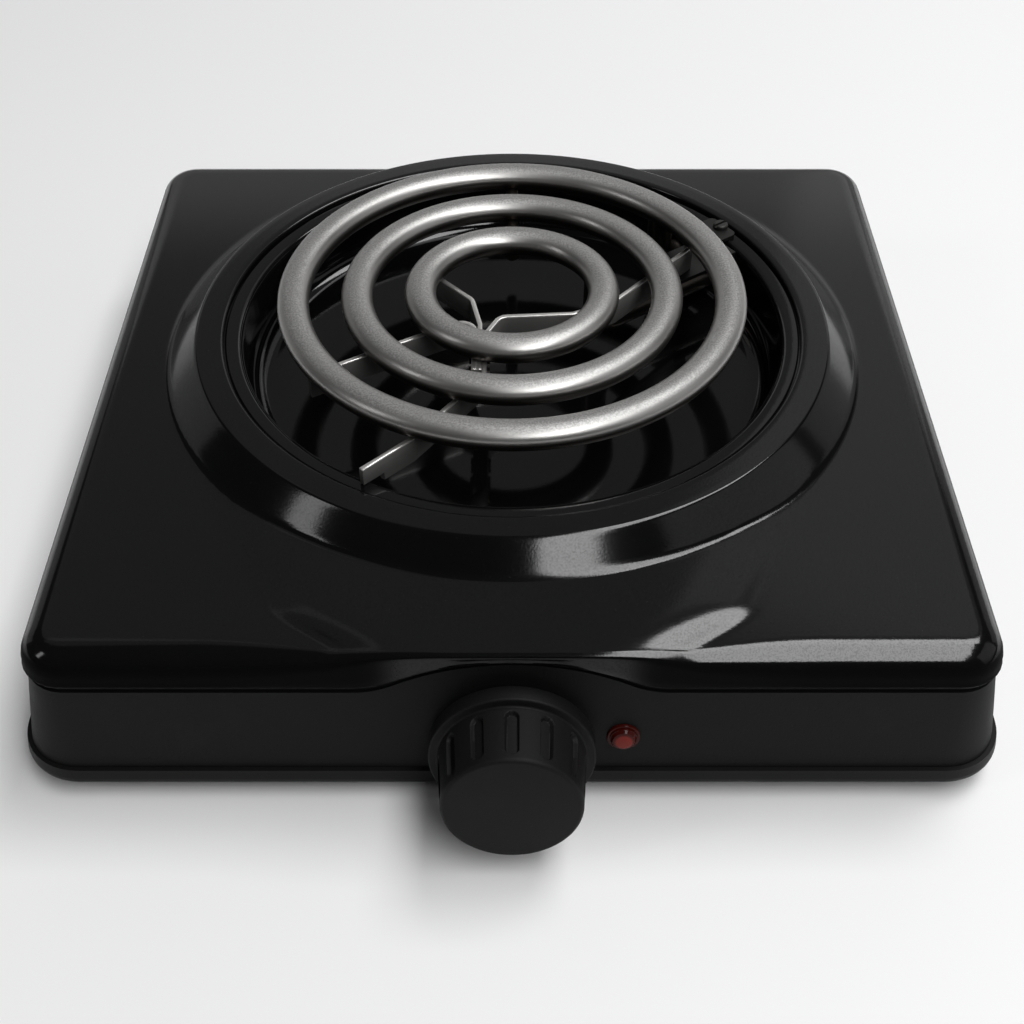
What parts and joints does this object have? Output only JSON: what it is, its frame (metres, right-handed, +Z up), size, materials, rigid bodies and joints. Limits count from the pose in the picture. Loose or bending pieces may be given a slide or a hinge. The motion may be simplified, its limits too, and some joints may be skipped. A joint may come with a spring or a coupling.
{
  "type": "hot plate burner",
  "caption": "Single-coil electric hot plate: black panel with a raised ring, lift-up tubular coil over a drip pan, front control knob and red indicator lamp.",
  "frame": {"origin": "on the counter under the middle of the box round the whole product", "axes": "+Z up, +X to the cook's right, the control knob faces -Y"},
  "size_m": [0.2622, 0.2683, 0.0732],
  "materials": {
    "panel_enamel": "gloss black stove enamel with a fine grain",
    "pan_enamel": "gloss black enamel",
    "body_plastic": "matte, finely textured",
    "base_plastic": "satin",
    "foot_rubber": "matte",
    "element_steel": "satin, speckled oxide on the flattened top",
    "strip_steel": "dark oxidised",
    "screw_steel": "zinc plated",
    "black_screw": "black",
    "ceramic": "unglazed ceramic",
    "contact_brass": "plain",
    "knob_plastic": "matte",
    "phenolic": "moulded",
    "lamp_red": "clear red"
  },
  "bodies": {
    "housing": {"base_pan": "base_plastic", "side_band": "body_plastic", "top_panel": "panel_enamel", "drip_pan": "pan_enamel", "feet": "foot_rubber", "tie_screws": "screw_steel", "weld_nuts": "screw_steel", "hinge_bracket": "strip_steel", "hinge_pin": "screw_steel", "bracket_screw": "screw_steel", "thermostat_bracket": "screw_steel", "thermostat_body": "phenolic", "thermostat_blades": "contact_brass", "thermostat_screws": "black_screw", "lamp_lens": "lamp_red", "lamp_holder": "phenolic", "lamp_clip": "screw_steel", "cord_gland": "base_plastic", "gland_nut": "base_plastic", "terminal_block": "phenolic", "block_screw": "screw_steel"},
    "coil": {"heating_coil": "element_steel", "lead_beads": "ceramic", "lead_tags": "contact_brass", "spider_main_strip": "strip_steel", "spider_back_strip": "strip_steel", "spider_left_strip": "strip_steel", "spider_rivets": "strip_steel", "coil_bracket": "strip_steel"},
    "control": {"knob": "knob_plastic", "control_shaft": "screw_steel"}
  },
  "joints": [
    {"name": "coil_lift", "type": "hinge", "parent": "housing", "child": "coil", "pos_m": [0.06025, 0.06466, 0.0572], "axis": [-0.5807, 0.8141, 0], "range_deg": [0, 20]},
    {"name": "knob_turn", "type": "hinge", "parent": "housing", "child": "control", "pos_m": [0, -0.10805, 0.0226], "axis": [0, 0.9945, -0.1045], "range_deg": [0, 270]}
  ]
}
